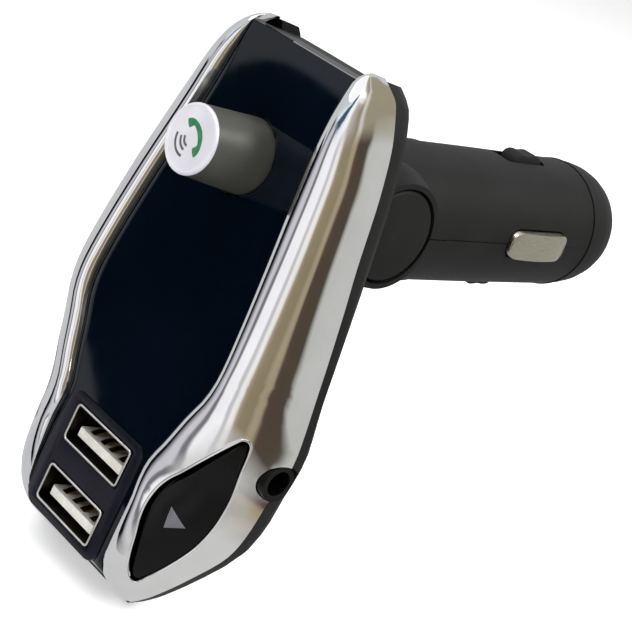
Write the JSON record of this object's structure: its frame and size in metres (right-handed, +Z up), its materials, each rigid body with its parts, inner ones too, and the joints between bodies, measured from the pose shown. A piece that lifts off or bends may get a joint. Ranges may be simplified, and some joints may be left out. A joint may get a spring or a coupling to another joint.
{
  "type": "car_fm_transmitter",
  "caption": "Car FM transmitter: power socket plug with a tilting display head, dial knob, twin USB sockets, side buttons and audio jack",
  "frame": {"origin": "on the plug's axis, at the front end of its parallel barrel wall, where the shoulder stops the plug in the socket", "axes": "+Y along the plug to its tip contact, +X to the right as the user faces the display, +Z up"},
  "size_m": [0.0474, 0.0899, 0.0784],
  "materials": {
    "shell_plastic": "fine moulded texture, dark grey-black",
    "pad_plastic": "ribbed black moulding",
    "inner_plastic": "plain black moulding",
    "nickel_contact": "nickel-plated spring metal",
    "spring_steel": "plain zinc-plated steel",
    "can_metal": "drawn sheet metal",
    "fuse_glass": "clear glass tube",
    "circuit_board": "green solder mask",
    "window_gloss": "polished dark lens",
    "port_plastic": "semi-gloss blue-black moulding",
    "trim_chrome": "bright plated plastic",
    "tongue_plastic": "off-white moulding",
    "knob_plastic": "satin warm dark grey",
    "knob_face_satin": "satin silver-white cap with a plain green handset mark",
    "button_gloss": "polished black cap with a grey triangle"
  },
  "bodies": {
    "plug": {"plug_shell_lower": "shell_plastic", "plug_shell_upper": "shell_plastic", "nose_cap": "shell_plastic", "fuse_sleeve": "inner_plastic", "plug_board": "circuit_board", "power_coil": "inner_plastic", "power_capacitor": "can_metal", "hinge_screw": "spring_steel", "hinge_nut": "spring_steel", "hinge_washers": "spring_steel", "hinge_cap_left": "shell_plastic", "hinge_cap_right": "shell_plastic"},
    "tip": {"tip_contact": "nickel_contact", "fuse_glass": "fuse_glass", "fuse_caps": "nickel_contact", "fuse_spring": "spring_steel"},
    "contact_left": {"side_contact_left": "nickel_contact"},
    "contact_right": {"side_contact_right": "nickel_contact"},
    "pad_top": {"grip_pad_top": "pad_plastic"},
    "pad_bottom": {"grip_pad_bottom": "pad_plastic"},
    "head": {"rear_housing": "shell_plastic", "front_bezel": "inner_plastic", "display_window": "window_gloss", "port_plate": "port_plastic", "trim_left": "trim_chrome", "trim_right": "trim_chrome", "usb_shell_upper": "nickel_contact", "usb_shell_lower": "nickel_contact", "usb_tongue_upper": "tongue_plastic", "usb_tongue_lower": "tongue_plastic", "main_board": "circuit_board", "led_display": "inner_plastic", "encoder_body": "can_metal", "aux_jack": "inner_plastic", "card_slot": "can_metal", "microphone": "can_metal", "radio_chip": "inner_plastic", "switch_left": "inner_plastic", "switch_right": "inner_plastic", "housing_screws": "spring_steel"},
    "rotor": {"encoder_rotor": "tongue_plastic"},
    "knob": {"knob_shaft": "spring_steel", "knob_sleeve": "knob_plastic", "knob_face": "knob_face_satin"},
    "button_left": {"button_left": "button_gloss", "switch_stem_left": "inner_plastic"},
    "button_right": {"button_right": "button_gloss", "switch_stem_right": "inner_plastic"}
  },
  "joints": [
    {"name": "tip_press", "type": "slide", "parent": "plug", "child": "tip", "axis": [0, -1, 0], "range_m": [0, 0.0025], "stiffness_N_per_m": 1000, "springref_m": -0.001, "deforming": ["fuse_spring"]},
    {"name": "contact_left_press", "type": "slide", "parent": "plug", "child": "contact_left", "axis": [1, 0, 0], "range_m": [0, 0.00135], "stiffness_N_per_m": 1500, "springref_m": -0.0005},
    {"name": "contact_right_press", "type": "slide", "parent": "plug", "child": "contact_right", "axis": [-1, 0, 0], "range_m": [0, 0.00135], "stiffness_N_per_m": 1500, "springref_m": -0.0005},
    {"name": "pad_top_press", "type": "slide", "parent": "plug", "child": "pad_top", "axis": [0, 0, -1], "range_m": [0, 0.00095], "stiffness_N_per_m": 1500, "springref_m": -0.0005},
    {"name": "pad_bottom_press", "type": "slide", "parent": "plug", "child": "pad_bottom", "axis": [0, 0, 1], "range_m": [0, 0.00095], "stiffness_N_per_m": 1500, "springref_m": -0.0005},
    {"name": "head_tilt", "type": "hinge", "parent": "plug", "child": "head", "pos_m": [0, -0.011, 0], "axis": [1, 0, 0], "range_deg": [-36, 52]},
    {"name": "knob_turn", "type": "hinge", "parent": "head", "child": "rotor", "pos_m": [0, -0.03358, 0.00587], "axis": [0, -0.9888, 0.1492], "continuous": true},
    {"name": "knob_press", "type": "slide", "parent": "rotor", "child": "knob", "axis": [0, 0.9888, -0.1492], "range_m": [0, 0.0006], "stiffness_N_per_m": 1500, "springref_m": -0.0005},
    {"name": "button_left_press", "type": "slide", "parent": "head", "child": "button_left", "axis": [0, 0.9888, -0.1492], "range_m": [0, 0.0003], "stiffness_N_per_m": 1500, "springref_m": -0.0005},
    {"name": "button_right_press", "type": "slide", "parent": "head", "child": "button_right", "axis": [0, 0.9888, -0.1492], "range_m": [0, 0.0003], "stiffness_N_per_m": 1500, "springref_m": -0.0005}
  ]
}
